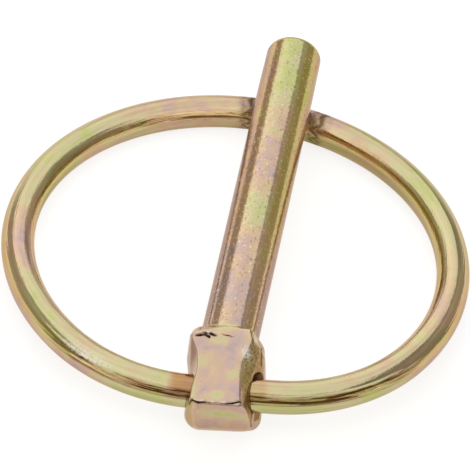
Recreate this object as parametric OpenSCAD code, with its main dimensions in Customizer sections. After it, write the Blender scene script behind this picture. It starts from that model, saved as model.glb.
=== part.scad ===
// Linch pin: a cold-forged pin with a cross-drilled head, and the open ring of spring
// wire that turns in the head and snaps over the pin's end.
//
// The pin lies as it comes to rest: on the lower front edge of its head and on the far
// side of its ring, with the shank resting across the ring. +Z is up, +Y points towards
// the pin's tip and X runs along the cross hole. The origin is under the middle of the
// whole thing, on the floor.

/* [Shank] */
// Diameter of the shank
shank_d = 6; // [5:0.5:8]
// Length of the shank from the head's shoulder to its tip
shank_len = 42; // [36:1:60]
// How far the tip reaches past the ring when the ring is shut
tip_over = 4.8; // [4:0.1:8]
// Bevel around the tip
tip_bevel = 0.4; // [0.2:0.1:0.8]
// How much thinner the shank gets towards its tip, across the diameter
lead_in = 0.1; // [0.04:0.02:0.3]

/* [Head] */
// How far the head's left side stands out from the shank
left_side = 1.1; // [0.8:0.1:2]
// How far the rim along the head's right side stands out from the shank
right_side = 1.4; // [1:0.1:2.4]
// How far the head's pressed top lies above the shank
head_rise = 0.2; // [0:0.1:0.8]
// From the cross hole's axis to the end of the head
hole_to_end = 4.2; // [3.6:0.1:6]
// From the cross hole's axis to the head's shoulder
hole_to_shoulder = 7.1; // [6:0.1:10]
// How far the head sits to the right of the shank, at the cross hole
head_shift = 0.7; // [0:0.1:1]
// Radius of the domed lower edge at the end of the head
end_round = 3.2; // [2:0.1:3.5]
// Radius of the head's corners, seen from above
corner_round = 1.6; // [0.8:0.1:2]
// How far the right flank leans in at the top
flank_lean = 1.8; // [0.8:0.1:2.2]
// Depth of the pinched hollow in the right flank, at the top edge
right_pinch = 1.2; // [0.4:0.1:1.8]
// Depth of the pinched hollow in the left flank, at the top edge
left_pinch = 1; // [0.3:0.1:1.4]

/* [Cross hole] */
// How far the hole leans from square to the shank, in degrees
hole_skew = 9; // [0:1:12]
// Play of the wire in the hole, all round
hole_play = 0.05; // [0.02:0.01:0.1]
// Width of the hole's open mouth in the right flank
right_mouth_d = 4.6; // [4.2:0.1:5.2]
// Width of the hole's open mouth in the left flank
left_mouth_d = 4; // [3.8:0.1:4.8]
// Depth of each mouth
mouth_depth = 0.8; // [0.6:0.1:1.4]

/* [Ring] */
// Diameter of the ring's wire
wire_d = 3.5; // [2.5:0.1:4]
// How far the ring's straight side lies inside its full circle
ring_flat = 1.8; // [1.2:0.1:3]
// Length of the straight side of the ring, through the head
ring_straight = 7.6; // [5:0.1:9]
// How far the ring has slid along the hole to the right
ring_slide = 1.2; // [0:0.1:1.5]
// Gap between the wire's two ends inside the head
end_gap = 1; // [0.6:0.1:2]

/* [Hidden] */
$fn = 96;
rest_gap = 0.02;

shank_r = shank_d / 2;
wire_r = wire_d / 2;
hole_r = wire_r + hole_play;
left_half = shank_r + left_side;
right_half = shank_r + right_side;
head_top = shank_r + head_rise;
head_bottom = -shank_r;

// The shank's axis in the pin's own frame: the frame's origin is in the middle of the head
// on the cross hole's axis, x runs along the hole, and the axis leans by hole_skew from y.
shoulder_at = hole_to_shoulder / cos(hole_skew);
pin_len = shoulder_at + shank_len;
cross_at = pin_len - tip_over;

// The ring lies flat under the shank. Its main circle follows from where it meets the
// shank, so the ring's size follows from the shank's length.
axis_from_ring = cross_at * sin(hole_skew) - ring_slide - head_shift;
function reach(tilt) = cross_at * cos(hole_skew) * cos(tilt);
function ring_radius(tilt) =
    let (far = reach(tilt) + ring_flat)
    (far * far + axis_from_ring * axis_from_ring) / (2 * far);

// Tilt between the ring and the head at which the shank just rests on the ring's wire: two
// round bars that cross touch when their axes are as far apart as their radii together.
function touch_tilt(tilt, rounds) =
    rounds == 0 ? tilt :
    let (
        r = ring_radius(tilt),
        up = reach(tilt) - (r - ring_flat),
        along = (axis_from_ring * cos(hole_skew) * cos(tilt) - up * sin(hole_skew)) / r,
        lever = (axis_from_ring * cross_at * sin(hole_skew) + reach(tilt) * up) / r,
        apart = shank_r + wire_r + rest_gap,
        lift = apart * sqrt(1 - along * along) / (lever * cos(hole_skew))
    )
    touch_tilt(asin(lift), rounds - 1);
head_to_ring = touch_tilt(0, 6);

ring_r = ring_radius(head_to_ring);
ring_to_hole = ring_r - ring_flat;
straight_half = ring_straight / 2;
bend_r = ring_r - (straight_half * straight_half / ring_flat + ring_flat) / 2;
bend_end = atan2(bend_r - ring_to_hole, straight_half);

// Both lie on the floor: the head on its domed edge, the ring on its far side.
dome_y = end_round - hole_to_end;
dome_z = end_round + head_bottom;
function dome_height(tilt) = end_round - dome_y * sin(tilt) - dome_z * cos(tilt);
function ring_slope(slope, rounds) =
    rounds == 0 ? slope :
    let (height = dome_height(head_to_ring - slope))
    ring_slope(asin((height - wire_r) / (ring_r + ring_to_hole)), rounds - 1);
ring_tilt = ring_slope(0, 6);
pin_tilt = head_to_ring - ring_tilt;
hole_height = dome_height(pin_tilt);

// The middle of the whole thing is over the origin.
head_reach = hole_to_end * cos(pin_tilt) + head_top * sin(pin_tilt);
tip_y = cos(hole_skew) * cos(pin_tilt);
tip_reach = pin_len * tip_y + (shank_r - tip_bevel) * sqrt(1 - tip_y * tip_y);
hole_x = -ring_slide;
hole_y = (head_reach - tip_reach) / 2;

// Stretch of the shank that is a true cylinder: from the shoulder to just before the ring.
before_ring = 0.6;
grip_end = cross_at - wire_r - before_ring;

// Forging details of the head.
block_reach = 12;
root_depth = 2;
root_flare = 0.25;
root_height = 0.8;
root_at = shoulder_at + shank_r * tan(hole_skew);
flank_foot = -1;
pressed_edge = 0.35;
shoulder_round = 1.2;
left_foot_round = 2.4;
right_foot_round = 1.4;
right_edge = right_half - flank_lean - right_pinch;
right_pinch_at = -1.2;
right_pinch_r = 16;
right_pinch_lean = 32;
left_pinch_at = 2;
left_pinch_r = 18;
left_pinch_lean = 5;
joint_half = 0.05;
blend_swell = 0.004;
right_mouth_floor = right_edge + head_top * tan(right_pinch_lean) - mouth_depth;
left_mouth_floor = left_half - left_pinch - mouth_depth;

// Polygon with rounded corners: each corner is [x, y, radius], anticlockwise.
module round_polygon(corners) {
    count = len(corners);
    function unit(v) = v / norm(v);
    function at(i) = [corners[i % count][0], corners[i % count][1]];
    function back(i) = unit(at(i + count - 1) - at(i));
    function ahead(i) = unit(at(i + 1) - at(i));
    function half_turn(i) = acos(back(i) * ahead(i)) / 2;
    function trim(i) = corners[i][2] / tan(half_turn(i));
    polygon([
        for (i = [0 : count - 1])
            for (way = [back(i), ahead(i)])
                at(i) + trim(i) * way
    ]);
    for (i = [0 : count - 1])
        translate(at(i) + unit(back(i) + ahead(i)) * corners[i][2] / sin(half_turn(i)))
            circle(r = corners[i][2] + blend_swell);
}

// Lays what is drawn along Z along the shank's axis instead.
module along_shank() {
    translate([-head_shift, 0, 0])
        rotate([-90, 0, -hole_skew])
            children();
}

// Shank, turned in one profile: a flared root in the head, a true cylinder over the grip,
// then a faint taper to the bevelled tip.
module shank() {
    root_r = shank_r + root_flare;
    tip_r = shank_r - lead_in / 2;
    along_shank()
        rotate_extrude()
            polygon([
                [0, root_at - root_depth],
                [root_r, root_at - root_depth],
                [root_r, root_at],
                [shank_r, root_at + root_height],
                [shank_r, grip_end],
                [tip_r, pin_len - tip_bevel],
                [tip_r - tip_bevel, pin_len],
                [0, pin_len]
            ]);
}

// End view of the head: an upright left flank, and a right flank that leans in.
module head_end_view() {
    round_polygon([
        [-left_half, head_bottom, left_foot_round],
        [right_half, head_bottom, right_foot_round],
        [right_half, flank_foot, 1.5],
        [right_half - flank_lean, head_top, 0.7],
        [-left_half, head_top, 0.7]
    ]);
}

// Side view of the head: domed below at the end, with a sharp pressed edge above it.
module head_side_view() {
    round_polygon([
        [-hole_to_end, head_bottom, end_round],
        [hole_to_shoulder, head_bottom, shoulder_round],
        [hole_to_shoulder, head_top, shoulder_round],
        [-hole_to_end, head_top, pressed_edge]
    ]);
}

// Top view of the head: its corners are rounded most behind on the left and in front on
// the right.
module head_top_view() {
    round_polygon([
        [-left_half, -hole_to_end, corner_round],
        [right_half, -hole_to_end, 1.4 * corner_round],
        [right_half, hole_to_shoulder, corner_round],
        [-left_half, hole_to_shoulder, 1.4 * corner_round]
    ]);
}

// Forged head: the block that the three views leave, with a flank pinched at each side.
module head() {
    difference() {
        intersection() {
            translate([0, block_reach, 0])
                rotate([90, 0, 0])
                    linear_extrude(2 * block_reach)
                        head_end_view();
            translate([-block_reach, 0, 0])
                rotate([90, 0, 90])
                    linear_extrude(2 * block_reach)
                        head_side_view();
            translate([0, 0, -block_reach])
                linear_extrude(2 * block_reach)
                    head_top_view();
        }
        pinch(right_edge, right_pinch_at, right_pinch_r, right_pinch_lean);
        mirror([1, 0, 0])
            pinch(left_half - left_pinch, left_pinch_at, left_pinch_r, left_pinch_lean);
    }
}

// Shallow hollow that the forging tool leaves in a flank: it starts at edge_x on the head's
// top and runs out towards the bottom.
module pinch(edge_x, along, radius, lean) {
    translate([edge_x, along, head_top])
        rotate([0, -lean, 0])
            translate([radius, 0, 0])
                cylinder(r = radius, h = block_reach, center = true);
}

// Cross hole: a close bore through the head, opened out at each flank.
module cross_hole() {
    rotate([0, 90, 0]) {
        cylinder(r = hole_r, h = 2 * block_reach, center = true);
        translate([0, 0, right_mouth_floor])
            cylinder(d = right_mouth_d, h = block_reach);
        mirror([0, 0, 1])
            translate([0, 0, left_mouth_floor])
                cylinder(d = left_mouth_d, h = block_reach);
    }
}

// The pin, forged in one piece.
module pin() {
    color("#c2b287")
        translate([hole_x, hole_y, hole_height])
            rotate([pin_tilt, 0, 0])
                difference() {
                    union() {
                        shank();
                        head();
                    }
                    cross_hole();
                }
}

// Bend of the ring's wire around the Z axis, from one angle to another. It stops just short
// of both, where a joint carries the wire on.
module bend(radius, from, to) {
    short = joint_half / radius * 180 / PI;
    rotate_extrude(start = from + short, angle = to - from - 2 * short)
        translate([radius, 0])
            circle(r = wire_r, $fn = 32);
}

// The wire itself where one bend runs into the next.
module joint() {
    sphere(r = wire_r + blend_swell, $fn = 32);
}

// One side of the ring, mirrored for the other: from the wire's cut end in the hole along
// the straight side and around the tighter bend to where the main circle begins.
module turned_in_side(slide) {
    straight = straight_half + slide;
    translate([end_gap / 2, 0, 0])
        rotate([0, 90, 0])
            cylinder(r = wire_r, h = straight - joint_half - end_gap / 2, $fn = 32);
    translate([straight, 0, 0])
        joint();
    translate([straight, bend_r, 0]) {
        bend(bend_r, -90, bend_end);
        rotate([0, 0, bend_end])
            translate([bend_r, 0, 0])
                joint();
    }
}

// The ring: one length of round wire, a circle that is flattened where it meets the head.
module ring() {
    color("#b9ab7c")
        translate([hole_x, hole_y, hole_height])
            rotate([-ring_tilt, 0, 0]) {
                turned_in_side(ring_slide);
                mirror([1, 0, 0])
                    turned_in_side(-ring_slide);
                translate([ring_slide, ring_to_hole, 0])
                    bend(ring_r, bend_end, 180 - bend_end);
            }
}

pin();
ring();
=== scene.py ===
import math

import bpy
import numpy as np
from mathutils import Matrix, Vector


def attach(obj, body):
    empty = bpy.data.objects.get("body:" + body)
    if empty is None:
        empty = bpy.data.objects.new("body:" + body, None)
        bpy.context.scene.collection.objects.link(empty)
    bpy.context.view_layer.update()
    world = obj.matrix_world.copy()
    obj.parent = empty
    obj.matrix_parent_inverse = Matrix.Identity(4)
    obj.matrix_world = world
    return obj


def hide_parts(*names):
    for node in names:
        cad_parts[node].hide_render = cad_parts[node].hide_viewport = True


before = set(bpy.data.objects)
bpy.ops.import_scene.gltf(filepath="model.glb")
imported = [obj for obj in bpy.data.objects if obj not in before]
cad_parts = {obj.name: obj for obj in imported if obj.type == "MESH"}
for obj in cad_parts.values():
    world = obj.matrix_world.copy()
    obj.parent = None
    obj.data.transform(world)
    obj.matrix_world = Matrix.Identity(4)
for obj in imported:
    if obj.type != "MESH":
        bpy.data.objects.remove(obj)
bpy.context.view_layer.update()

# ---------------------------------------------------------------- the forged pin
# One steel forging: a round shank with a squared head, pressed flat on top, pinched in at the
# flanks and rounded under at its end. The ring's hole is drilled across the head at a skew, and
# the whole is then plated with bright zinc.

# Lengths are in mm in the pin's own frame: x along the hole, y towards the tip, z up.
MM = 0.001
hinge_at = np.array([-1.2, -22.2217, 3.08007])  # the middle of the hole
pin_tilt = math.radians(4.55646)
shank_radius = 3.0
pin_length = 49.1885
hole_skew = math.radians(9)
head_shift = 0.7
tip_bevel = 0.4
pressed_top = 3.2
pinch_joins = (0.7, -1.5, -2.3)  # heights where the pinched flank's slopes meet
underside = -2.993
front_end = -4.223
back_end = 6.58
hole_bore = 1.8
worn_back = 0.76  # how far the worn right mouth's middle moves, as shares of its wear
worn_up = 0.65
shank_way = np.array([math.sin(hole_skew), math.cos(hole_skew), 0.0])
shank_side = np.array([shank_way[1], -shank_way[0], 0.0])


def ease(t):
    """Smooth step: 3 t^2 - 2 t^3, held at 0 below t = 0 and at 1 above t = 1."""
    t = np.clip(t, 0, 1)
    return t * t * (3 - 2 * t)


def hump(t, width):
    """Bell of height 1: e to the power -(t / width)^2."""
    return np.exp(-((t / width) ** 2))


def rounded_edge(a, b, radius):
    """Signed distance inside both a and b, their common edge rounded off to a radius."""
    flat = np.minimum(-radius, np.maximum(a, b))
    return flat + np.hypot(np.maximum(a + radius, 0), np.maximum(b + radius, 0))


def filleted(a, b, radius):
    """Signed distance inside either a or b, their corner filled to a radius."""
    flat = np.maximum(radius, np.minimum(a, b))
    return flat - np.hypot(np.maximum(radius - a, 0), np.maximum(radius - b, 0))


def soft_max(a, b, width):
    """The larger of a and b, plus h^2 width / 4 where h falls from 1 to 0 as |a - b| nears width."""
    h = np.maximum(width - np.abs(a - b), 0) / width
    return np.maximum(a, b) + h * h * width / 4


def soft_ramp(t, width):
    """Zero below t = 0 and t above it, its corner rounded: (t + sqrt(t^2 + width^2)) / 2."""
    return (t + np.sqrt(t * t + width * width)) / 2


def soft_step(t, width):
    """How steep soft_ramp is at t: 0 well below t = 0 and 1 well above it."""
    return (1 + t / np.sqrt(t * t + width * width)) / 2


def along_head(y, stations, values, blur):
    """Straight lines through values at stations along the head, averaged with a bell of width blur."""
    fine = np.linspace(-6, 9, 301)
    bell = np.exp(-0.5 * (np.arange(-30, 31) * 0.05 / blur) ** 2)
    padded = np.pad(np.interp(fine, stations, values), 30, mode="edge")
    return np.interp(y, fine, np.convolve(padded, bell / bell.sum(), "valid"))


def right_flank(y, z):
    """The pinched flank: five lines along the head, from the pressed top's edge down to the rim,
    joined by straight slopes with softened corners. Gives x and the cosine of the slope."""
    stations = [-4.2, -2.3, -0.8, 0.5, 2.1, 3.2, 4.6, 5.0, 7]
    edge = along_head(y, stations, [1.52, 1.42, 1.42, 1.42, 1.50, 2.05, 2.62, 2.66, 2.68], 0.25)
    ridge = along_head(y, stations, [2.1, 2.1, 2.35, 2.62, 3.1, 3.35, 3.5, 2.95, 2.95], 0.2)
    waist = along_head(y, stations, [2.68, 2.75, 2.95, 3.3, 3.95, 4.15, 4.25, 4.2, 4.15], 0.35)
    low = along_head(y, stations, [2.95, 2.95, 3.2, 3.8, 4.3, 4.5, 4.5, 4.45, 4.4], 0.35)
    rim = along_head(y, stations, [4.55, 4.5, 4.5, 4.5, 4.5, 4.55, 4.55, 4.5, 4.45], 0.35)
    ridge_z = 2.45 + 0.15 * ease((y - 4.5) / 0.7)
    waist_z, low_z, rim_z = pinch_joins
    slope_1 = (ridge - edge) / (pressed_top - ridge_z)
    slope_2 = (waist - ridge) / (ridge_z - waist_z)
    slope_3 = (low - waist) / (waist_z - low_z)
    slope_4 = (rim - low) / (low_z - rim_z)
    x = edge + slope_1 * (pressed_top - z)
    x = x + (slope_2 - slope_1) * soft_ramp(ridge_z - z, 0.12)
    x = x + (slope_3 - slope_2) * soft_ramp(waist_z - z, 0.5)
    x = x + (slope_4 - slope_3) * soft_ramp(low_z - z, 0.3)
    x = x - slope_4 * soft_ramp(rim_z - z, 0.3)
    slope = slope_1 + (slope_2 - slope_1) * soft_step(ridge_z - z, 0.12)
    slope = slope + (slope_3 - slope_2) * soft_step(waist_z - z, 0.5)
    slope = slope + (slope_4 - slope_3) * soft_step(low_z - z, 0.3)
    slope = slope - slope_4 * soft_step(rim_z - z, 0.3)
    return x, 1 / np.sqrt(1 + slope * slope)


def left_flank(y, z):
    """The lesser pinch: the soft smaller of the pressed top's edge leaning out, and the outer side."""
    stations = [-4.2, -3.3, -1.84, -0.73, 0.17, 1.5, 2.85, 3.97, 4.64, 5.5, 7]
    edge = along_head(
        y, stations, [3.85, 3.74, 3.55, 3.30, 3.12, 3.08, 3.16, 3.47, 3.78, 4.0, 4.1], 0.25
    )
    outer = along_head(y, [-4.2, -1.5, 1.5, 3.5, 5.5, 7], [4.02, 3.98, 3.62, 3.62, 3.82, 3.9], 0.6)
    leaning = edge + 0.16 * (pressed_top - z)
    return (leaning + outer) / 2 - np.hypot(leaning - outer, 0.12) / 2


def head(x, y, z):
    """Signed distance of the head: its planes and flanks, with every edge rounded as it was forged."""
    up = z - (pressed_top - 0.10 * ease((y - 5.0) / 1.5))
    down = underside - z
    flank_x, lean = right_flank(y, z)
    right = (x - flank_x) * lean
    left = -x - left_flank(y, z)
    corner = ease((-0.2 - x) / 2.2)
    front = front_end - y
    back = y - (back_end + 0.75 * corner)
    dome = np.clip(3.15 + 0.06 * (x + 2.2), 3.0, 3.6)
    low = ease((2.6 - z) / 3.6)
    past = ease((y - 4.7) / 1.5)
    under = rounded_edge(rounded_edge(front, down, dome), rounded_edge(back, down, 1.0), 0.01)
    cap = rounded_edge(back, up, 0.45 + 1.5 * corner)
    side = np.maximum.reduce(
        [
            rounded_edge(under, left, 1.2 + 0.6 * low),
            rounded_edge(under, right, 0.45 + 0.9 * ease((-0.6 - z) / 1.4)),
            rounded_edge(back, left, 1.9),
            rounded_edge(back, right, 0.8),
        ]
    )
    top = np.maximum.reduce(
        [
            rounded_edge(cap, right, 0.2 + 0.3 * past),
            rounded_edge(cap, left, 0.22 + 1.4 * past),
            rounded_edge(front, up, 0.25),
        ]
    )
    return soft_max(side, top, 0.12)


def shank(x, y, z):
    """Signed distance of the shank: a round bar along its way, bevelled at the tip."""
    along = (x + head_shift) * shank_way[0] + y * shank_way[1]
    across = (x + head_shift) * shank_way[1] - y * shank_way[0]
    wall = np.hypot(across, z) - shank_radius + 0.05 * ease((along - 42) / 7)
    end = along - pin_length
    bevel = (wall + end + tip_bevel) / math.sqrt(2)
    tip = np.maximum(rounded_edge(wall, bevel, 0.25), rounded_edge(end, bevel, 0.25))
    return np.maximum(tip, 2 - along)


def crease(x):
    """Where the fold along the pressed top's front edge lies: y for each x, with a hook at each end."""
    return -3.993 + 0.42 * hump(x + 3.9, 0.55) + 0.38 * ease((x - 0.1) / 1.4) + 0.03 * np.sin(5.1 * x)


def tent(t):
    """Roof of height 1 over t from -1 to 1, with straight slopes."""
    return np.maximum(1 - np.abs(t), 0)


def folded(x, y, z, spread):
    """How deep each fold of the forging is at a point, 0 to 1: the front crease, the nicks and crack
    at the back, and the seam on the outer flank. Their widths are multiplied by spread."""
    ends = ease((x + 3.95) / 0.3) * ease((1.68 - x) / 0.2) * (z > 2.2)
    uneven = 0.30 + 0.70 * np.maximum(hump(x + 2.8, 0.75), hump(x - 0.8, 0.80))
    uneven = uneven * (0.8 + 0.2 * np.sin(17 * x) * np.sin(6.3 * x + 1))
    front = uneven * hump(y - crease(x), 0.08 * spread) * ends
    back_1 = y - 4.98 - 0.22 * (x + 2.76)
    nick_1 = tent((x + 2.76) / (0.52 * spread)) * hump(back_1, 0.12 * spread)
    back_2 = y - 5.03 - 0.26 * tent((x + 1.74) / 0.5) * np.sign(x + 1.74)
    nick_2 = tent((x + 1.74) / (0.58 * spread)) ** 0.7 * hump(back_2, 0.13 * spread)
    back_3 = y - 5.32 + 0.30 * (x + 2.25)
    nick_3 = 0.6 * tent((x + 2.25) / (0.40 * spread)) * hump(back_3, 0.07 * spread)
    back_crack = y - 5.12 + 0.24 * (x - 0.1) - 0.04 * np.sin(9 * x)
    crack = 0.8 * tent((x - 0.05) / 0.75) * hump(back_crack, 0.05 * spread)
    seam = 0.5 * hump(x - 3.66, 0.06 * spread) * ease((y - 2.6) / 0.5) * ease((5.6 - y) / 0.5) * (z > 0)
    return front, 1.2 * (nick_1 + nick_2 + nick_3 + crack) * (z > 2.5), seam


def pin_surface(x, y, z):
    """Signed distance of the whole forging, head and shank filleted together, less its folds."""
    front, nicks, seam = folded(x, y, z, 1.0)
    lip = hump(x + 2.2, 0.9) * hump(y - 5.36, 0.14) * (z > 2.5)
    roll = hump(y - crease(x) - 0.14, 0.08) * (z > 2.2) * ease((x + 3.9) / 0.3) * ease((1.6 - x) / 0.2)
    body = filleted(head(x, y, z), shank(x, y, z), 0.3)
    return body + 0.15 * front + 0.26 * nicks + 0.14 * seam - 0.06 * lip - 0.02 * roll


def cast_rays(starts, aims, distance):
    """Point on each ray from starts towards aims where distance changes sign, found by 30 halvings
    of a stretch that reaches 2.2 times as far as the aim."""
    near = np.zeros(aims.shape[:-1])
    far = np.full(aims.shape[:-1], 2.2)
    for _ in range(30):
        middle = (near + far) / 2
        point = starts + (aims - starts) * middle[..., None]
        inside = distance(point[..., 0], point[..., 1], point[..., 2]) < 0
        near = np.where(inside, middle, near)
        far = np.where(inside, far, middle)
    return starts + (aims - starts) * ((near + far) / 2)[..., None]


def turn_x(angle):
    """Rotation matrix about the X axis."""
    c, s = math.cos(angle), math.sin(angle)
    return np.array([[1, 0, 0], [0, c, -s], [0, s, c]])


def in_place(points, tilt):
    """From a piece's own frame in mm to the shared frame in metres: turn by tilt, move to the hinge."""
    return (hinge_at + points @ turn_x(tilt).T) * MM


def skin(name, points, start, end):
    """Closed skin over a grid [row, around, xyz]: quads between the rows, all the way round, and a
    fan from the first row to the point start and from the last row to the point end."""
    rows, around = points.shape[:2]
    row = np.arange(rows - 1)[:, None] * around
    here = np.arange(around)
    after = (here + 1) % around
    quads = np.stack([row + here, row + after, row + around + after, row + around + here], -1)
    last = (rows - 1) * around
    first_fan = np.stack([after, here, np.full(around, rows * around)], -1)
    last_fan = np.stack([last + here, last + after, np.full(around, rows * around + 1)], -1)
    corners = np.vstack([points.reshape(-1, 3), start, end])
    mesh = bpy.data.meshes.new(name)
    faces = quads.reshape(-1, 4).tolist() + first_fan.tolist() + last_fan.tolist()
    mesh.from_pydata(corners.tolist(), [], faces)
    mesh.update()
    piece = bpy.data.objects.new(name, mesh)
    bpy.context.scene.collection.objects.link(piece)
    return piece


def spine(y):
    """Points on the shank's axis, level with y."""
    return np.stack([-head_shift + y * math.tan(hole_skew), y, 0.0 * y], -1)


def level(y):
    """Points on the y axis at y."""
    return np.stack([0 * y, y, 0 * y], -1)


def shares(count):
    """Even steps up to a whole: 1 / count, 2 / count and so on to 1."""
    return np.arange(1, count + 1) / count


# The skin is cast outwards from the shank's axis on to aims laid round it, row by row.
rays_around = 384
around_pin = np.arange(rays_around) / rays_around * 2 * math.pi
angle = around_pin + 0.10 * np.sin(2 * around_pin - 0.4)
outward = np.stack([np.cos(angle), 0 * angle, np.sin(angle)], -1)


def head_width(y):
    """How far the head's side is from the axis, level with y, at each angle round it."""
    start = np.broadcast_to(spine(np.array(y)), outward.shape)
    reach = cast_rays(start, start + 4 * outward, head)
    return np.linalg.norm(reach - start, axis=-1)


# Front of the head: flat, then round its domed edge, then back to where even rows begin.
front_y = -4.2
dome_y = -1.0
even_from_y = -0.2
front_width = head_width(dome_y)
front_round = np.interp(
    np.degrees(angle),
    [-90, -50, -20, 10, 40, 58, 72, 112, 130, 150, 180, 220, 250],
    [3.3, 3.2, 3.0, 2.3, 1.3, 0.6, 0.35, 0.35, 0.6, 1.2, 1.5, 2.4, 3.2],
    period=360,
)
front_axis = spine(np.array(dome_y)) * [1, 0, 1]
front_start = front_axis + [0.3, dome_y, 0.3]
front_face = front_axis + level(np.full(rays_around, front_y))
aims = []
starts = []
for part in shares(16):
    width = (front_width - front_round) * part
    aims.append(front_face + outward * width[:, None])
    starts.append(front_start + 0 * outward)
for part in shares(28) * math.pi / 2:
    y = front_y + front_round * (1 - math.cos(part))
    width = front_width - front_round * (1 - math.sin(part))
    aims.append(front_axis + level(y) + outward * width[:, None])
    starts.append(front_start + 0 * outward)
for part in shares(12):
    y = (front_y + front_round) * (1 - part) + even_from_y * part
    aims.append(front_axis + level(y) + outward * front_width[:, None])
    starts.append(front_start * (1 - part) + spine(np.array(even_from_y)) * part + 0 * outward)

# Even rows along the head, then round its shoulder and down to the shank.
shoulder_y = 5.2
shoulder_length = 1.9
for y in np.linspace(even_from_y + 0.1, shoulder_y, 54):
    aims.append(spine(np.array(y)) + 4 * outward)
    starts.append(spine(np.array(y)) + 0 * outward)
shoulder_start = spine(np.array(shoulder_y)) + 0 * outward
back_width = head_width(shoulder_y)
back_step = np.maximum(back_width - shank_radius - 0.15, 0.05)
for part in shares(39) * math.pi / 2:
    width = back_width - (1 - math.cos(part)) * back_step
    aims.append(shoulder_start + [0, shoulder_length * math.sin(part), 0] + outward * width[:, None])
    starts.append(shoulder_start)
shank_out = np.cos(angle)[:, None] * shank_side + np.sin(angle)[:, None] * [0, 0, 1.0]


def shank_row(along, radius):
    """Circle of a radius round the shank's axis, at a distance along it from the hole."""
    return [-head_shift, 0, 0] + shank_way * along + radius * shank_out


root_end = shank_row(8.3, shank_radius + 0.02)
shoulder_end = aims[-1]
for part in shares(8):
    aims.append(shoulder_end * (1 - part) + root_end * part)
    starts.append(shoulder_start)

# Along the shank, round its bevelled tip and in across its end.
tip_run = 0.9
tip_start = pin_length - tip_run
bevel_from = 0.45  # the share of the tip's run before its bevel
tip_flat = 2.55
for along in np.concatenate([np.linspace(8.6, 12, 10), np.linspace(12.6, tip_start, 46)]):
    aims.append(shank_row(along, shank_radius))
    starts.append(shank_row(along, 0))
for part in shares(17):
    narrow = tip_bevel * max(0, part - bevel_from) / (1 - bevel_from)
    aims.append(shank_row(pin_length - tip_run * (1 - part), shank_radius - narrow))
    starts.append(shank_row(tip_start, 0))
for part in shares(10)[:-1]:
    aims.append(shank_row(pin_length, tip_flat * (1 - part)))
    starts.append(shank_row(tip_start, 0))
pin_points = cast_rays(np.array(starts), np.array(aims), pin_surface)[:, ::-1]
nose = cast_rays(front_start[None], (front_axis + [0, front_y, 0])[None], pin_surface)
tip_middle = shank_row(pin_length, 0)[:1]
forged_pin = skin(
    "forged_pin", in_place(pin_points, pin_tilt), in_place(nose, pin_tilt), in_place(tip_middle, pin_tilt)
)


def worn_by(x):
    """How much wider the right mouth is worn at x."""
    return ease((x - 2.65) / 0.25) * (0.26 + 0.10 * np.maximum(x - 2.75, 0))


def hole_radius(x):
    """Radius of the ring's hole at x: its bore, flared at the two mouths."""
    left = ease((-x - 3.3) / 0.3) * (0.18 + 0.1 * np.maximum(-x - 3.3, 0))
    return hole_bore + worn_by(x) + left


# The hole: a turned cutter on the x axis, its middle moved up and back at the worn right mouth. The
# weld closes the slivers, under a thousandth of a hair long, that the drilling leaves.
cutter_sides = 128
cutter_half = 8.0
sliver = 0.00003
left_mouth = np.linspace(-3.65, -3.25, 9)
right_mouth = np.linspace(2.55, 2.95, 9)
cutter_x = np.concatenate([[-cutter_half, -5], left_mouth, [0], right_mouth, [3.5, 5, cutter_half]])
cutter_angle = np.arange(cutter_sides) / cutter_sides * 2 * math.pi
cutter_radius = hole_radius(cutter_x)[:, None]
cutter_wear = worn_by(cutter_x)[:, None]
cutter_points = np.stack(
    [
        np.repeat(cutter_x[:, None], cutter_sides, 1),
        cutter_radius * np.cos(cutter_angle) + worn_back * cutter_wear,
        cutter_radius * np.sin(cutter_angle) + worn_up * cutter_wear,
    ],
    -1,
)
cutter_ends = in_place(np.array([[-cutter_half, 0, 0], [cutter_half, 0, 0]]), pin_tilt)
cutter = skin("cutter", in_place(cutter_points, pin_tilt), cutter_ends[0], cutter_ends[1])
drilling = forged_pin.modifiers.new("hole", "BOOLEAN")
drilling.operation = "DIFFERENCE"
drilling.solver = "EXACT"
drilling.object = cutter
welding = forged_pin.modifiers.new("slivers", "WELD")
welding.merge_threshold = sliver * MM
bpy.context.view_layer.update()
drilled_pin = forged_pin.evaluated_get(bpy.context.evaluated_depsgraph_get())
drilled = bpy.data.meshes.new_from_object(drilled_pin)
forged_pin.modifiers.clear()
forged_pin.data = drilled
bpy.data.objects.remove(cutter)
drilled.name = "forged_pin"
drilled.shade_smooth()
drilled.set_sharp_from_angle(angle=math.radians(40))

# The plating is bright zinc under a yellow passivate: a clear film whose thickness sets its tint,
# from pale green through straw and gold to rose. These are the pin's own places that it varies with.
drilled_at = np.empty(len(drilled.vertices) * 3)
drilled.vertices.foreach_get("co", drilled_at)
own_x, own_y, own_z = ((drilled_at.reshape(-1, 3) / MM - hinge_at) @ turn_x(pin_tilt)).T
own_along = (own_x + head_shift) * shank_way[0] + own_y * shank_way[1]
own_across = (own_x + head_shift) * shank_way[1] - own_y * shank_way[0]
on_top = own_z > 2.3
on_shank = ease((own_along - 6.7) / 0.5)
on_end = ease((-3.9 - own_y) / 0.3)


def patch(x, y, wide, deep):
    """Soft oval, 1 at its middle: the product of two bells."""
    return hump(x, wide) * hump(y, deep)


def through(place, pairs):
    """Straight lines through pairs of a place and the value there."""
    return np.interp(place, *zip(*pairs))


def keep_on(mesh, name, parts):
    """Store three values for each corner of a mesh as an attribute."""
    kept = mesh.attributes.new(name, "FLOAT_VECTOR", "POINT")
    kept.data.foreach_set("vector", np.stack(parts, -1).ravel())


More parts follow.
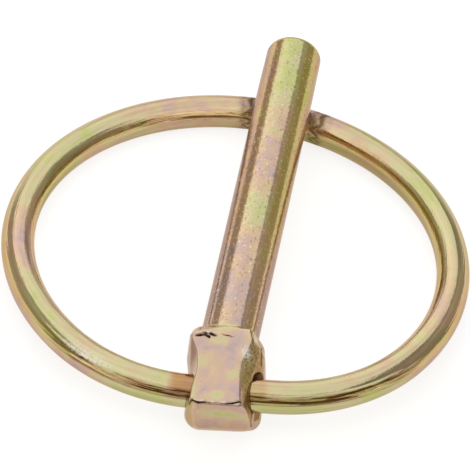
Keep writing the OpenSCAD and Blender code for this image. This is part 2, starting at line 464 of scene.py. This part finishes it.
# Painted shade, dark brown, in the folds, in the hole and in the slits at the pinch's two ends, and dark
# brown round the tip. Worn bare along the pressed edge, bare zinc painted as highlights on the rims of
# the nicks, above the crease and at the back corner, and pitted where it was pinched.
front_fold, nick_fold, seam_fold = folded(own_x, own_y, own_z, 1.3)
mouth_shift = worn_by(own_x)
from_axis = np.hypot(own_y - worn_back * mouth_shift, own_z - worn_up * mouth_shift)
in_hole = from_axis < hole_radius(own_x) + 0.02
# Painted shade: the crease, the nicks, the seam and the hole are darkened towards dark brown.
painted_shade = np.clip(2.2 * front_fold + 2.0 * nick_fold + 1.3 * seam_fold, 0, 1)
painted_shade = np.maximum(painted_shade, 0.55 * in_hole)
# Painted shade in the slit at the back end of the pinch.
back_slit = patch(own_x - 2.68, own_y - 4.80, 0.09, 0.40) * (own_z > 2.4)
tip_rim = ease((own_along - pin_length + 0.50) / 0.15) * ease((pin_length - 0.05 - own_along) / 0.1)
painted_shade = np.maximum(painted_shade, np.maximum(0.9 * back_slit, 0.35 * tip_rim))
# Painted shade: a dark strip in the slit in front of the right mouth, between the flank and the wire.
slit_y = through(own_z, [(-1.1, -1.66), (-0.2, -2.00), (1.6, -2.71), (2.4, -2.81)])
front_slit = hump(own_y - slit_y - 0.05, 0.24) * ease((own_x - 1.8) / 0.3) * ease((own_z + 1.4) / 0.5)
front_slit = front_slit * (0.35 + 0.60 * ease((1.9 - own_z) / 0.8)) * (own_z < 2.6)
painted_shade = np.maximum(painted_shade, front_slit)
# Bright bare zinc: painted highlights on the nicks' rims, above the crease and on the back corner, and
# real wear along the pressed edge.
beside_nicks = patch(own_x + 2.2, own_y - 5.42 - 0.05 * np.sin(9 * own_x), 0.95, 0.10) * on_top
above_crease = hump(own_y - crease(own_x) - 0.17, 0.06) * ease((1.6 - own_x) / 0.2) * on_top
pressed_edge = patch(own_x - 2.05, own_y - 3.0, 0.50, 0.70) * on_top
back_corner = patch(own_x - 3.15, own_y - 5.35, 0.32, 0.30) * ease((own_z - 1.9) / 0.3)
worn_and_highlit = np.clip(0.9 * beside_nicks + 0.6 * above_crease + 1.2 * (pressed_edge + back_corner), 0, 1)
pinched = ease((own_x - 1.5) / 0.4) * ease((3.15 - own_z) / 0.3) * ease((own_z + 1.6) / 1.0)
pinched = pinched * ease((5.0 - own_y) / 0.8) * ease((own_y + 4.1) / 0.4) * (1 - in_hole)
pitted = pinched * ease((4.3 - own_x) / 0.6)

# The film's tint, from where the bath ran and drained, and painted shade: warm on the shank's sides, in
# the hole, the pinch and the left flank, and dim under the shank, low on the end and on the head's
# flanks.
shank_tint = through(
    own_along,
    [
        (7, 0.58), (8.5, 0.68), (11, 0.86), (18, 0.84), (20, 0.74),
        (21.5, 0.22), (24, 0.12), (26, 0.52), (28.5, 0.76), (33, 0.64),
        (35, 0.36), (37.5, 0.58), (40, 0.48), (42, 0.12), (49, 0.12),
    ],
)
right_side = ease((own_across - 0.9) / 0.8)
left_side = ease((-own_across - 1.0) / 0.8)
under = ease((np.abs(own_across) - 2.2) / 0.6) * on_shank
shank_tint = shank_tint + left_side * (0.62 - 0.8 * shank_tint)
near_head = ease((24 - own_along) / 10)
shank_tint = shank_tint + right_side * ((0.45 * near_head + 0.12) - 0.9 * shank_tint)
shank_tint = shank_tint + 0.35 * under
top_tint = (
    0.60
    - 0.62 * patch(own_x - 0.40, own_y - 0.0, 0.85, 0.65)
    - 0.70 * patch(own_x + 1.05, own_y + 2.9, 0.75, 0.65)
    - 0.40 * patch(own_x + 3.6, own_y + 2.6, 0.45, 1.3)
    - 0.35 * patch(own_x + 0.7, own_y - 4.4, 0.8, 0.6)
    - 0.22 * patch(own_x + 2.2, own_y - 1.0, 0.8, 0.9)
    - 0.35 * ease((own_y - 5.6) / 0.8)
    + 0.30 * patch(own_x + 1.7, own_y - 3.4, 1.2, 0.5)
    + 0.25 * patch(own_x + 2.2, own_y + 2.2, 0.8, 0.6)
)
end_tint = 0.60 - 0.78 * patch(own_x + 0.3 + 0.9 * (own_z - 1.6), own_z - 1.7, 1.9, 0.60)
end_tint = end_tint - 0.30 * patch(own_x - 2.4, own_z - 1.0, 0.9, 0.8)
head_tint = top_tint + on_end * (end_tint - top_tint)
left_of_head = ease((-own_x - 2.9) / 0.2) * ease((3.12 - own_z) / 0.15) * (1 - on_end)
left_of_head = left_of_head * ease((5.4 - own_y) / 0.7)
right_of_head = ease((own_x - 2.8) / 0.5) * ease((2.4 - own_z) / 0.5)
head_tint = head_tint + left_of_head * (0.70 - 0.28 * ease((1.2 - own_y) / 1.5) - head_tint)
# Painted shade, dark brown, on the head's left flank towards its back.
painted_shade = np.maximum(painted_shade, 0.13 * left_of_head * ease((own_y - 0.5) / 1.5))
head_tint = head_tint + pinched * (0.36 - head_tint)
head_tint = head_tint + 0.9 * right_of_head * (0.72 - head_tint)
tint = head_tint + on_shank * (shank_tint - head_tint)
# Painted shade, warm: the shank's sides where they show dark reflections, the pinch, the left flank and
# the hole.
warm_shade = on_shank * np.maximum(right_side, 0.6 * left_side) * (1 - 0.6 * under) * (1 - 0.6 * near_head)
warm_shade = np.maximum(warm_shade + 0.75 * pitted + 0.45 * left_of_head, in_hole)
# Painted shade, dim: low on the end face, on both flanks of the head, and under the shank.
low_on_end = on_end * (0.38 + 0.25 * ease((1.6 - own_z) / 2.5))
dim_shade_left = (0.45 + 0.5 * ease((own_y - 1.5) / 1.5)) * left_of_head
dim_shade_right = (0.45 + 0.35 * ease((-3.0 - own_y) / 0.6)) * right_of_head
dim_shade_head = np.maximum(low_on_end, np.maximum(dim_shade_left, dim_shade_right))
dim_shade = 0.5 * under + (1 - on_shank) * dim_shade_head
undrawn = np.zeros_like(tint)
spare = np.zeros_like(tint)  # scars needs only two of its three parts
keep_on(drilled, "marks_and_light", [painted_shade, worn_and_highlit, pitted])
keep_on(drilled, "tone", [tint, warm_shade, dim_shade])
keep_on(drilled, "scars", [undrawn, 0.30 + 0.70 * on_shank, spare])


def place_node(tree, kind, settings, feeds):
    """New node: settings go on its properties and feeds on its inputs, linked if they are sockets."""
    node = tree.nodes.new(kind)
    for key, value in settings.items():
        setattr(node, key, value)
    for key, value in feeds.items():
        if isinstance(value, bpy.types.NodeSocket):
            tree.links.new(value, node.inputs[key])
        else:
            node.inputs[key].default_value = value
    return node


def calc(tree, operation, a, b=0.0, c=0.0):
    """Output of a Math node."""
    return place_node(tree, "ShaderNodeMath", {"operation": operation}, {0: a, 1: b, 2: c}).outputs[0]


def between(tree, value, low, high, start=0.0, end=1.0):
    """Smooth step of value from low to high, put out between start and end."""
    feeds = {"Value": value, 1: low, 2: high, 3: start, 4: end}
    return place_node(tree, "ShaderNodeMapRange", {"interpolation_type": "SMOOTHSTEP"}, feeds).outputs[0]


def noise(tree, place, stretch, detail, shift=0.0, twist=0.0):
    """Noise of a place in mm, its cells 1 / stretch mm long on each axis, moved by shift."""
    feeds = {0: place, 1: stretch, 2: (shift,) * 3}
    scaled = place_node(tree, "ShaderNodeVectorMath", {"operation": "MULTIPLY_ADD"}, feeds).outputs[0]
    feeds = {"Vector": scaled, "Scale": 1.0, "Detail": detail, "Distortion": twist}
    return place_node(tree, "ShaderNodeTexNoise", {}, feeds).outputs[0]


def tinted(tree, factor, stops):
    """Colour ramp through stops, each a position and a colour."""
    node = place_node(tree, "ShaderNodeValToRGB", {}, {0: factor})
    steps = node.color_ramp.elements
    while len(steps) < len(stops):
        steps.new(0.5)
    for step, (position, colour) in zip(steps, stops):
        step.position = position
        step.color = (*colour, 1)
    return node.outputs[0]


def mixed(tree, kind, factor, a, b):
    """Colour a with colour b mixed in, multiplied or plain, by a factor."""
    node = place_node(tree, "ShaderNodeMix", {"data_type": "RGBA", "blend_type": kind}, {0: factor})
    for socket, value in ((node.inputs[6], a), (node.inputs[7], b)):
        if isinstance(value, bpy.types.NodeSocket):
            tree.links.new(value, socket)
        else:
            socket.default_value = (*value, 1)
    return node.outputs[2]


# The film, on both pieces. Tint picks its colour, and two amounts of painted shade turn it browner, one
# warm and one dim. Drawn scratches it along the piece and paints highlights on the scratches' ridges,
# Grain and
# Pits roughen it and Pits paints pale glints, and three more say where painted dark shade, bare zinc that
# is partly wear and partly painted highlight, and pits lie.
passivate = bpy.data.node_groups.new("yellow_passivate", "ShaderNodeTree")
passivate.interface.new_socket("Place", in_out="INPUT", socket_type="NodeSocketVector")
for name in ("Tint", "Warm_Shade", "Dim_Shade", "Drawn", "Grain", "Pits", "Shade", "Worn_Highlit", "Pitted"):
    passivate.interface.new_socket(name, in_out="INPUT", socket_type="NodeSocketFloat")
for name, kind in (("Color", "Color"), ("Roughness", "Float"), ("Height", "Float")):
    passivate.interface.new_socket(name, in_out="OUTPUT", socket_type="NodeSocket" + kind)
fed = passivate.nodes.new("NodeGroupInput").outputs
place = fed["Place"]
cloud = noise(passivate, place, (0.20, 0.20, 0.12), 3.0, 3.1, 0.6)
mottle = noise(passivate, place, (0.9, 0.9, 0.55), 4.0, 7.7, 0.4)
streak = noise(passivate, place, (4.5, 4.5, 0.11), 3.0, 1.3)
scratch = noise(passivate, place, (3.0, 3.0, 0.13), 3.0, 6.3)
speck = noise(passivate, place, (4.5, 4.5, 3.0), 2.0, 5.9)
grit = noise(passivate, place, (3.6, 3.6, 3.6), 4.0, 9.2)

thickness = fed["Tint"]
drawn_out = calc(passivate, "MULTIPLY", fed["Drawn"], 0.6)
for varied, share in ((cloud, 1.3), (mottle, 1.1), (streak, drawn_out)):
    around_none = calc(passivate, "SUBTRACT", varied, 0.5)
    thickness = calc(passivate, "MULTIPLY_ADD", around_none, share, thickness)
film = tinted(
    passivate,
    thickness,
    (
        (0.00, (0.52, 0.54, 0.23)),
        (0.15, (0.575, 0.55, 0.30)),
        (0.33, (0.60, 0.53, 0.33)),
        (0.48, (0.63, 0.49, 0.31)),
        (0.66, (0.61, 0.44, 0.34)),
        (0.85, (0.55, 0.42, 0.38)),
        (1.00, (0.48, 0.38, 0.37)),
    ),
)
scored = calc(passivate, "MULTIPLY", fed["Drawn"], between(passivate, scratch, 0.46, 0.43))
# Painted highlights: pale gold lines along the ridges between the scratches.
ridge_highlight = calc(passivate, "MULTIPLY", fed["Drawn"], between(passivate, scratch, 0.56, 0.59))
dark_pit = calc(passivate, "MULTIPLY", fed["Pits"], between(passivate, speck, 0.66, 0.76, 0.0, 0.8))
glint = calc(passivate, "MULTIPLY", fed["Pits"], between(passivate, speck, 0.35, 0.26, 0.0, 0.6))
# Bare zinc painted pale silver, partly as wear and partly as highlights.
worn_highlit_zinc = calc(passivate, "MULTIPLY", fed["Worn_Highlit"], between(passivate, grit, 0.38, 0.52))
pocked = calc(passivate, "MULTIPLY", fed["Pitted"], between(passivate, grit, 0.55, 0.42))
# The warm and dim multiplies and the dark brown mix are painted shade. The ridge and bare-zinc mixes are
# painted highlights, the bare zinc partly real wear.
for kind, amount, colour in (
    ("MULTIPLY", fed["Warm_Shade"], (0.95, 0.82, 0.58)),
    ("MULTIPLY", fed["Dim_Shade"], (0.58, 0.44, 0.36)),
    ("MULTIPLY", scored, (0.22, 0.12, 0.05)),
    ("MIX", ridge_highlight, (0.95, 0.72, 0.38)),
    ("MULTIPLY", dark_pit, (0.55, 0.42, 0.30)),
    ("MIX", glint, (0.82, 0.78, 0.66)),
    ("MIX", worn_highlit_zinc, (0.82, 0.80, 0.74)),
    ("MULTIPLY", pocked, (0.70, 0.64, 0.50)),
    ("MIX", fed["Shade"], (0.070, 0.036, 0.012)),
):
    film = mixed(passivate, kind, amount, film, colour)

rough = between(passivate, mottle, 0.3, 0.7, 0.07, 0.15)
scuffed = calc(passivate, "MULTIPLY_ADD", ridge_highlight, 1.4, worn_highlit_zinc)
for mark, roughened in ((fed["Pitted"], 0.22), (fed["Shade"], 0.35), (scuffed, 0.28)):
    rough = calc(passivate, "MULTIPLY_ADD", mark, roughened, rough)

sunk = between(passivate, speck, 0.60, 0.70, 0.0, -2.5)
grooves = calc(passivate, "MULTIPLY", fed["Drawn"], 50.0)
coarse = calc(passivate, "MULTIPLY_ADD", fed["Pitted"], 6.0, 0.5)
height = calc(passivate, "MULTIPLY", speck, fed["Grain"])
for bumps, tall in ((sunk, fed["Pits"]), (streak, 0.8), (scratch, grooves), (grit, coarse)):
    height = calc(passivate, "MULTIPLY_ADD", bumps, tall, height)
place_node(passivate, "NodeGroupOutput", {}, {"Color": film, "Roughness": rough, "Height": height})

bump_height = 0.008


def plating(name, grain):
    """Material of one piece: a metal shader, with the passivate group fed from three attributes, of tint
    and painted shade, of marks and painted light, and of scars, and joined to it straight and by a bump.
    Gives its tree and the group's node too."""
    material = bpy.data.materials.new(name)
    material.use_nodes = True
    tree = material.node_tree
    shader = tree.nodes["Principled BSDF"]
    shader.inputs["Metallic"].default_value = 1.0
    shader.inputs["Specular Tint"].default_value = (0.82, 0.72, 0.64, 1)
    coat = place_node(tree, "ShaderNodeGroup", {"node_tree": passivate}, {"Grain": grain})
    for attribute, sockets in (
        ("tone", ("Tint", "Warm_Shade", "Dim_Shade")),
        ("marks_and_light", ("Shade", "Worn_Highlit", "Pitted")),
        ("scars", ("Drawn", "Pits")),
    ):
        kept = place_node(tree, "ShaderNodeAttribute", {"attribute_name": attribute}, {})
        parts = place_node(tree, "ShaderNodeSeparateXYZ", {}, {0: kept.outputs["Vector"]}).outputs
        for part, socket in zip("XYZ", sockets):
            tree.links.new(parts[part], coat.inputs[socket])
    feeds = {"Height": coat.outputs["Height"], "Distance": bump_height * MM, "Strength": 1.0}
    bump = place_node(tree, "ShaderNodeBump", {}, feeds)
    tree.links.new(coat.outputs["Color"], shader.inputs["Base Color"])
    tree.links.new(coat.outputs["Roughness"], shader.inputs["Roughness"])
    tree.links.new(bump.outputs["Normal"], shader.inputs["Normal"])
    return material, tree, coat


pin_plating, tree, coat = plating("pin_yellow_zinc", 1.8)
# From the shared frame to the shank's own: across it, down, and along it from the hole, in mm.
to_shank = place_node(tree, "ShaderNodeMapping", {"vector_type": "TEXTURE"}, {})
shank_axes = turn_x(pin_tilt) @ np.column_stack([shank_side, [0, 0, -1], shank_way])
shank_from = hinge_at + turn_x(pin_tilt) @ [-head_shift, 0, 0]
to_shank.inputs["Location"].default_value = (shank_from * MM).tolist()
to_shank.inputs["Rotation"].default_value = Matrix(shank_axes.tolist()).to_euler()
to_shank.inputs["Scale"].default_value = (MM, MM, MM)
where = place_node(tree, "ShaderNodeTexCoord", {}, {})
tree.links.new(where.outputs["Object"], to_shank.inputs["Vector"])
tree.links.new(to_shank.outputs[0], coat.inputs["Place"])
drilled.materials.clear()
drilled.materials.append(pin_plating)
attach(forged_pin, "pin")
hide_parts("pin")

# ---------------------------------------------------------------- the wire ring
# One length of hard-drawn spring wire, bent round with both ends turned in straight, so that they
# face each other in the pin's hole. It is sprung open to go in, turns there freely, and is plated
# as the pin is.

# Lengths are in mm in the ring's own frame: x along the hole, y across the ring, z up.
ring_tilt = math.radians(1.72679)
wire_radius = 1.744
ring_radius = 22.9696
ring_reach = 21.1696  # from the hole to the ring's middle
ring_slide = 1.2  # how far the ring has slid along the hole
straight_half = 3.8
bend_radius = 18.0585
bend_stop = math.radians(-39.3076)
end_gap = 1.0
end_round = 0.25
wire_step = 0.3
wire_sides = 64
end_rows = 6


def wire_line(start, end):
    """Points a step apart on a straight line without its last point, and the headings there."""
    start, end = np.array(start), np.array(end)
    length = np.linalg.norm(end - start)
    count = max(2, round(length / wire_step))
    part = np.arange(count)[:, None] / count
    return start + (end - start) * part, np.repeat((end - start)[None] / length, count, 0)


def wire_arc(middle, radius, start, end):
    """Points a step apart on an arc turning left without its last point, and the headings there."""
    count = round((end - start) * radius / wire_step)
    turned = start + (end - start) * np.arange(count) / count
    points = np.array(middle) + radius * np.stack([np.cos(turned), np.sin(turned)], -1)
    return points, np.stack([-np.sin(turned), np.cos(turned)], -1)


right_bend = ring_slide + straight_half
left_bend = ring_slide - straight_half
runs = [
    wire_line((end_gap / 2, 0), (right_bend, 0)),
    wire_arc((right_bend, bend_radius), bend_radius, -math.pi / 2, bend_stop),
    wire_arc((ring_slide, ring_reach), ring_radius, bend_stop, math.pi - bend_stop),
    wire_arc((left_bend, bend_radius), bend_radius, math.pi - bend_stop, math.pi * 1.5),
    wire_line((left_bend, 0), (-end_gap / 2, 0)),
]
path = np.vstack([run[0] for run in runs] + [[-end_gap / 2, 0]])
heading = np.vstack([run[1] for run in runs] + [[1.0, 0]])
travelled = np.concatenate([[0], np.cumsum(np.linalg.norm(np.diff(path, axis=0), axis=1))])
wire_length = travelled[-1]
round_off = np.linspace(0, math.pi / 2, end_rows + 1)[:-1]
narrow = end_round * (1 - np.sin(round_off))
set_in = end_round * (1 - np.cos(round_off))
last = len(path) - 1
at = np.concatenate([np.zeros(end_rows, int), np.arange(1, last), np.full(end_rows, last)])
shrink = np.concatenate([narrow, np.zeros(last - 1), narrow[::-1]])
forward = np.concatenate([set_in, np.zeros(last - 1), -set_in[::-1]])
around_wire = -np.arange(wire_sides) / wire_sides * 2 * math.pi


def wire_tube():
    """Circle round each point of the path: (wire_radius - shrink) (cos a out + sin a up), where out
    is the path's right-hand side, moved forward along the heading for the rounded ends."""
    radius = (wire_radius - shrink)[:, None]
    middle = path[at] + forward[:, None] * heading[at]
    out = radius * np.cos(around_wire)
    x = middle[:, :1] + out * heading[at][:, 1:]
    y = middle[:, 1:] - out * heading[at][:, :1]
    return np.stack([x, y, radius * np.sin(around_wire)], -1)


wire_ends = in_place(np.array([[end_gap / 2, 0, 0], [-end_gap / 2, 0, 0]]), -ring_tilt)
wire_ring = skin("wire_ring", in_place(wire_tube(), -ring_tilt), wire_ends[0], wire_ends[1])
wire_ring.data.shade_smooth()
wire_ring.data.set_sharp_from_angle(angle=math.radians(40))

# The wire's own coordinates: out and up from its middle, and along it, in mm.
shape = (len(at), wire_sides)
lay = np.stack(
    [
        np.broadcast_to(wire_radius * np.cos(around_wire), shape),
        np.broadcast_to(wire_radius * np.sin(around_wire), shape),
        np.broadcast_to(travelled[at][:, None], shape),
    ],
    -1,
).reshape(-1, 3)
lay = np.vstack([lay, [0, 0, 0], [0, 0, wire_length]])
keep_on(wire_ring.data, "along_wire", lay.T)
wire_out = lay[:, 0] / wire_radius
wire_up = lay[:, 1] / wire_radius
wire_along = lay[:, 2]
along_part = wire_along / wire_length

# The film on the wire: its tint changes along it, painted shade darkens its sides warm and its low sides
# dim, most of all inside the ring, and painted shade browns it where it goes into the head.
tint = through(
    along_part,
    [
        (0, 0.5), (0.05, 0.20), (0.10, 0.22), (0.144, 0.32), (0.20, 0.48), (0.255, 0.28),
        (0.34, 0.15), (0.40, 0.38), (0.45, 0.70), (0.53, 0.46), (0.57, 0.42), (0.62, 0.28),
        (0.68, 0.15), (0.72, 0.18), (0.76, 0.60), (0.82, 0.48), (0.87, 0.40), (0.93, 0.25),
        (0.948, 0.35), (0.957, 0.02), (0.961, 0.10), (0.966, 0.60),
    ],
)
low_tint = through(
    along_part,
    [
        (0.11, 0.15), (0.15, 0.70), (0.20, 0.85), (0.40, 0.70),
        (0.60, 0.60), (0.84, 0.90), (0.895, 0.85), (0.93, 0.15),
    ],
)
inside_tint = through(
    wire_along,
    [
        (30, 0.6), (37, 0.5), (43, 0.4), (49, 0.05), (55, 0.05), (61, 0.1), (68, 0.3),
        (78, 0.5), (84, 0.3), (90, 0.6), (96, 0.1), (102, 0.1), (110, 0.5),
    ],
)
# Painted shade, dim, on the wire's low side inside the ring.
inside_dim_shade = through(
    wire_along,
    [
        (30, 0.4), (37, 0.5), (43, 0.6), (49, 0.85), (55, 0.95), (61, 0.9), (68, 0.8),
        (78, 0.65), (84, 0.6), (90, 0.5), (96, 0.6), (102, 0.8), (110, 0.5),
    ],
)
inside = ease((0.3 - wire_out) / 0.6)
low_tint = low_tint + inside * (inside_tint - low_tint)
low_dim_shade = 0.3 + inside * (inside_dim_shade - 0.3)
low_side = ease((0.38 - wire_up) / 0.25)
tint = tint + low_side * (low_tint - tint)
right_mouth_at = 4.1
left_mouth_at = 136.6
# Painted shade, brown, on the wire next to the head's two mouths.
head_shade = ease((right_mouth_at - wire_along) / 0.8) * (0.4 + 0.6 * ease((0.88 - wire_up) / 0.15))
head_shade = np.maximum(head_shade, ease((wire_along - left_mouth_at) / 1.2)) * (1 - low_side)
# Painted shade, warm, on the wire's sides above its low side.
warm_shade = np.maximum(ease((0.85 - wire_up) / 0.4) * (1 - low_side), head_shade)
keep_on(wire_ring.data, "tone", [tint, warm_shade, low_dim_shade * low_side + 0.5 * head_shade])

# Scratched where its sides were gripped for the bends, painted shade close to the hole, a silver patch of
# bare zinc painted as a highlight, and painted shade with fretted marks in two narrow bands beside the
# shank that lies across it.
bend_grip_at = 76
silver_highlight_at = 128.2
shank_sides_at = (71.0, 63.1)
from_end = np.minimum(wire_along, wire_length - wire_along)
gripped = ease((0.78 - wire_up) / 0.12) * ease((wire_up - 0.20) / 0.15)
drawn = 0.08 + gripped * (0.92 * ease((22 - from_end) / 8) + 0.85 * hump(wire_along - bend_grip_at, 9))
beside_shank = hump(wire_along - shank_sides_at[0], 0.9) + hump(wire_along - shank_sides_at[1], 0.9)
beside_shank = beside_shank * (wire_out < 0.6)
broken = 0.45 + 0.40 * np.sin(5.5 * wire_along + 3 * np.sin(9 * wire_up))
# Painted shade: darker near the hole, and in broken bands beside the shank.
painted_shade = np.clip(0.30 * gripped * ease((14 - from_end) / 6) + beside_shank * broken, 0, 1)
# A pale silver patch of bare zinc, painted as a highlight.
worn_and_highlit = 0.8 * patch(wire_along - silver_highlight_at, wire_up - 0.76, 2.6, 0.14) * (wire_out > 0)
unpitted = np.zeros_like(drawn)
spare = np.zeros_like(drawn)
keep_on(wire_ring.data, "marks_and_light", [painted_shade, worn_and_highlit, np.clip(beside_shank, 0, 1)])
keep_on(wire_ring.data, "scars", [drawn, unpitted, spare])

ring_plating, tree, coat = plating("ring_yellow_zinc", 1.0)
laid = place_node(tree, "ShaderNodeAttribute", {"attribute_name": "along_wire"}, {}).outputs["Vector"]
tree.links.new(laid, coat.inputs["Place"])
wire_ring.data.materials.append(ring_plating)
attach(wire_ring, "ring")
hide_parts("ring")

# ---------------------------------------------------------------- the floor
# A wide pale sheet to lie on. It glows a little for the camera and in reflections, so that it reads
# as white there without more light on the pin, and it keeps the pin's shadow.

floor_half = 4.0
floor_grey = 0.35
floor_glow = 0.80
floor_mesh = bpy.data.meshes.new("floor")
floor_corners = [(x * floor_half, y * floor_half, 0) for x, y in ((-1, -1), (1, -1), (1, 1), (-1, 1))]
floor_mesh.from_pydata(floor_corners, [], [(0, 1, 2, 3)])
floor = bpy.data.objects.new("floor", floor_mesh)
bpy.context.scene.collection.objects.link(floor)
floor_paint = bpy.data.materials.new("floor_paint")
floor_paint.use_nodes = True
tree = floor_paint.node_tree
tree.nodes.clear()
seen = place_node(tree, "ShaderNodeLightPath", {}, {}).outputs
shown = calc(tree, "MAXIMUM", seen["Is Camera Ray"], seen["Is Glossy Ray"])
shown = calc(tree, "MAXIMUM", shown, seen["Is Transmission Ray"])
glow = place_node(tree, "ShaderNodeEmission", {}, {"Strength": calc(tree, "MULTIPLY", shown, floor_glow)})
paint = place_node(tree, "ShaderNodeBsdfDiffuse", {}, {"Color": (floor_grey, floor_grey, floor_grey, 1)})
both = place_node(tree, "ShaderNodeAddShader", {}, {0: paint.outputs[0], 1: glow.outputs[0]})
place_node(tree, "ShaderNodeOutputMaterial", {}, {"Surface": both.outputs[0]})
floor_mesh.materials.append(floor_paint)

# ---------------------------------------------------------------- the softbox
# One flat lamp, close over the pin and reaching back well behind its tip. It gives the metal its
# broad highlights.

softbox_level = 0.74
softbox_data = bpy.data.lights.new("softbox", "AREA")
softbox_data.shape = "RECTANGLE"
softbox_data.size = 0.18
softbox_data.size_y = 0.37
softbox_data.energy = softbox_level * math.pi * softbox_data.size * softbox_data.size_y
softbox = bpy.data.objects.new("softbox", softbox_data)
softbox.location = (-0.015, 0.115, 0.105)
softbox.visible_camera = False
bpy.context.scene.collection.objects.link(softbox)

# ---------------------------------------------------------------- the room
# Dim and warm walls, which the plating shows as dark bands beside its highlights. They are paler high
# up in front, a lit backdrop stands behind and a faint card at the right, and below the skyline all
# is as pale as the floor.

dim_wall = (0.34, 0.30, 0.24)
studio = bpy.data.worlds.new("studio")
bpy.context.scene.world = studio
studio.use_nodes = True
tree = studio.node_tree
ray = place_node(tree, "ShaderNodeTexCoord", {}, {}).outputs["Generated"]
ray = place_node(tree, "ShaderNodeSeparateXYZ", {}, {0: ray}).outputs
room = tinted(
    tree,
    ray["Z"],
    (
        (0.03, (0.90, 0.90, 0.90)),
        (0.10, dim_wall),
        (0.45, dim_wall),
        (0.60, (0.42, 0.39, 0.34)),
        (0.75, (0.30, 0.28, 0.25)),
    ),
)
front = tinted(
    tree,
    ray["Z"],
    (
        (0.03, (0.90, 0.90, 0.90)),
        (0.09, (0.26, 0.23, 0.18)),
        (0.38, (0.28, 0.25, 0.20)),
        (0.48, (0.62, 0.58, 0.50)),
        (1.0, (0.5, 0.47, 0.42)),
    ),
)
towards_front = between(tree, ray["Y"], -0.20, -0.50)
surroundings = mixed(tree, "MIX", towards_front, room, front)
behind = calc(tree, "MULTIPLY", between(tree, ray["Y"], 0.82, 0.91), between(tree, ray["Z"], 0.40, 0.30))
surroundings = mixed(tree, "MIX", behind, surroundings, (0.72, 0.70, 0.66))
tree.links.new(surroundings, tree.nodes["Background"].inputs["Color"])
card_level = 0.36
card = calc(tree, "MULTIPLY", between(tree, ray["X"], 0.45, 0.58), between(tree, ray["Y"], 0.35, 0.48))
card = calc(tree, "MULTIPLY", card, between(tree, ray["Z"], 0.66, 0.58))
left_to_right = between(tree, ray["X"], -0.3, 0.3, 1.35, 0.95)
strength = calc(tree, "MULTIPLY_ADD", card, card_level, left_to_right)
tree.links.new(strength, tree.nodes["Background"].inputs["Strength"])

# ---------------------------------------------------------------- the camera
# Set where it sees the ring at the height, turn and size that a close three-quarter view from
# above the head gives. Pixel lengths are in a frame 470 pixels wide.

frame_pixels = 470
ring_radius_pixels = 218.5423
ring_middle_pixels = (235.942, 255.146)
ring_to_distance = 0.0387616  # the ring's radius over the camera's distance
rise = math.radians(41.936)
roll = math.radians(7.254)
ring_turn = math.radians(4.711)


def turn_z(angle):
    """Rotation matrix about the Z axis."""
    c, s = math.cos(angle), math.sin(angle)
    return np.array([[c, -s, 0], [s, c, 0], [0, 0, 1]])


facing = np.array(
    [[1, 0, 0], [0, -math.sin(rise), -math.cos(rise)], [0, math.cos(rise), -math.sin(rise)]]
)
look = turn_z(roll) @ facing @ turn_z(ring_turn)
focal_pixels = ring_radius_pixels / ring_to_distance
off_middle = (np.array(ring_middle_pixels) - frame_pixels / 2) / focal_pixels
ring_seen_at = np.array([off_middle[0], off_middle[1], 1]) * ring_radius / ring_to_distance
ring_plane = turn_x(-ring_tilt)
ring_middle = hinge_at + ring_plane @ [ring_slide, ring_reach, 0]
camera_at = ring_middle - ring_plane @ look.T @ ring_seen_at
camera_axes = ring_plane @ look.T * [1, -1, -1]
camera_data = bpy.data.cameras.new("camera")
camera_data.sensor_width = 36
camera_data.lens = focal_pixels * camera_data.sensor_width / frame_pixels
camera_data.clip_start = 0.01
camera = bpy.data.objects.new("camera", camera_data)
camera_turn = Matrix(camera_axes.tolist()).to_4x4()
camera.matrix_world = Matrix.Translation(Vector((camera_at * MM).tolist())) @ camera_turn
bpy.context.scene.collection.objects.link(camera)
bpy.context.scene.camera = camera
bpy.context.scene.view_settings.view_transform = "Standard"
